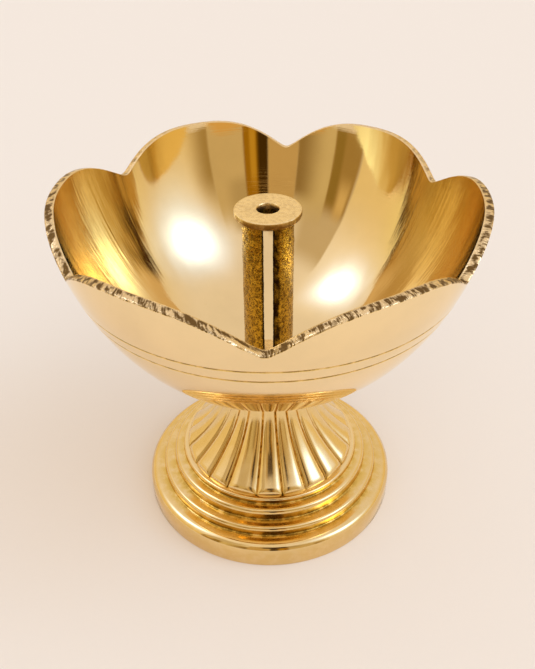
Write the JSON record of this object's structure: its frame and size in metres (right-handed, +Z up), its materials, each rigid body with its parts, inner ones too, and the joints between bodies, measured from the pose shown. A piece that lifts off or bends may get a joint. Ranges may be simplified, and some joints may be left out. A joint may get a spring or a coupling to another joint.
{
  "type": "pedestal oil lamp",
  "caption": "Brass oil lamp with a petal-rimmed bowl on a gadrooned, stepped pedestal foot and a slotted wick holder that lifts out of the middle of the bowl.",
  "frame": {"origin": "middle of the foot's underside, on the surface that the lamp stands on", "axes": "+Z up along the lamp's axis; -Y towards the notch between the two front petals; the wick slot runs along Y"},
  "size_m": [0.1, 0.0978, 0.0889],
  "materials": {
    "foot_brass": "polished casting, darker in the grooves",
    "bowl_brass": "mirror polished, rim left filed",
    "cast_brass": "rough as cast, disc turned",
    "fixing_brass": "turned",
    "seal_rubber": "matt"
  },
  "bodies": {
    "foot": {"foot": "foot_brass", "foot_washer": "fixing_brass", "clamp_nut": "fixing_brass"},
    "bowl": {"bowl": "bowl_brass", "oil_seal": "seal_rubber"},
    "wick_holder": {"wick_holder": "cast_brass"}
  },
  "joints": [
    {"name": "bowl_lift", "type": "slide", "parent": "foot", "child": "bowl", "axis": [0, 0, 1], "range_m": [0, 0.04]},
    {"name": "wick_holder_lift", "type": "slide", "parent": "bowl", "child": "wick_holder", "axis": [0, 0, 1], "range_m": [0, 0.065]}
  ]
}
